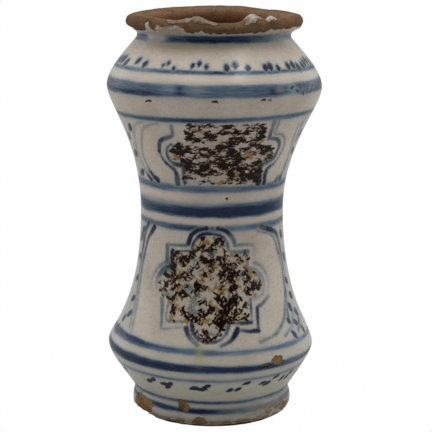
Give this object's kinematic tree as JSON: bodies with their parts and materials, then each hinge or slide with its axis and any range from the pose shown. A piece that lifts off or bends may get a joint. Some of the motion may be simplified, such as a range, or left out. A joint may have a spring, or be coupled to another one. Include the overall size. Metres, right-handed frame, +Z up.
{
  "type": "albarello jar",
  "caption": "Waisted tin-glazed earthenware pharmacy jar with flared foot, carinated shoulder and everted bare lip, for holding dry or thick drugs.",
  "frame": {"origin": "centre of the stand, on the surface that the jar rests on", "axes": "+Z up along the jar's axis, -Y towards the side that the picture shows"},
  "size_m": [0.1484, 0.1484, 0.2806],
  "materials": {
    "earthenware": "rough bare fired earthenware",
    "painted_tin_glaze": "satin-gloss tin glaze with cobalt painting",
    "lining_glaze": "satin glaze lining",
    "rim_glaze": "broken edges of tin glaze"
  },
  "bodies": {
    "root": {"biscuit_body": "earthenware", "exterior_glaze": "painted_tin_glaze", "interior_glaze": "lining_glaze", "rim_glaze_remnants": "rim_glaze"}
  },
  "joints": []
}
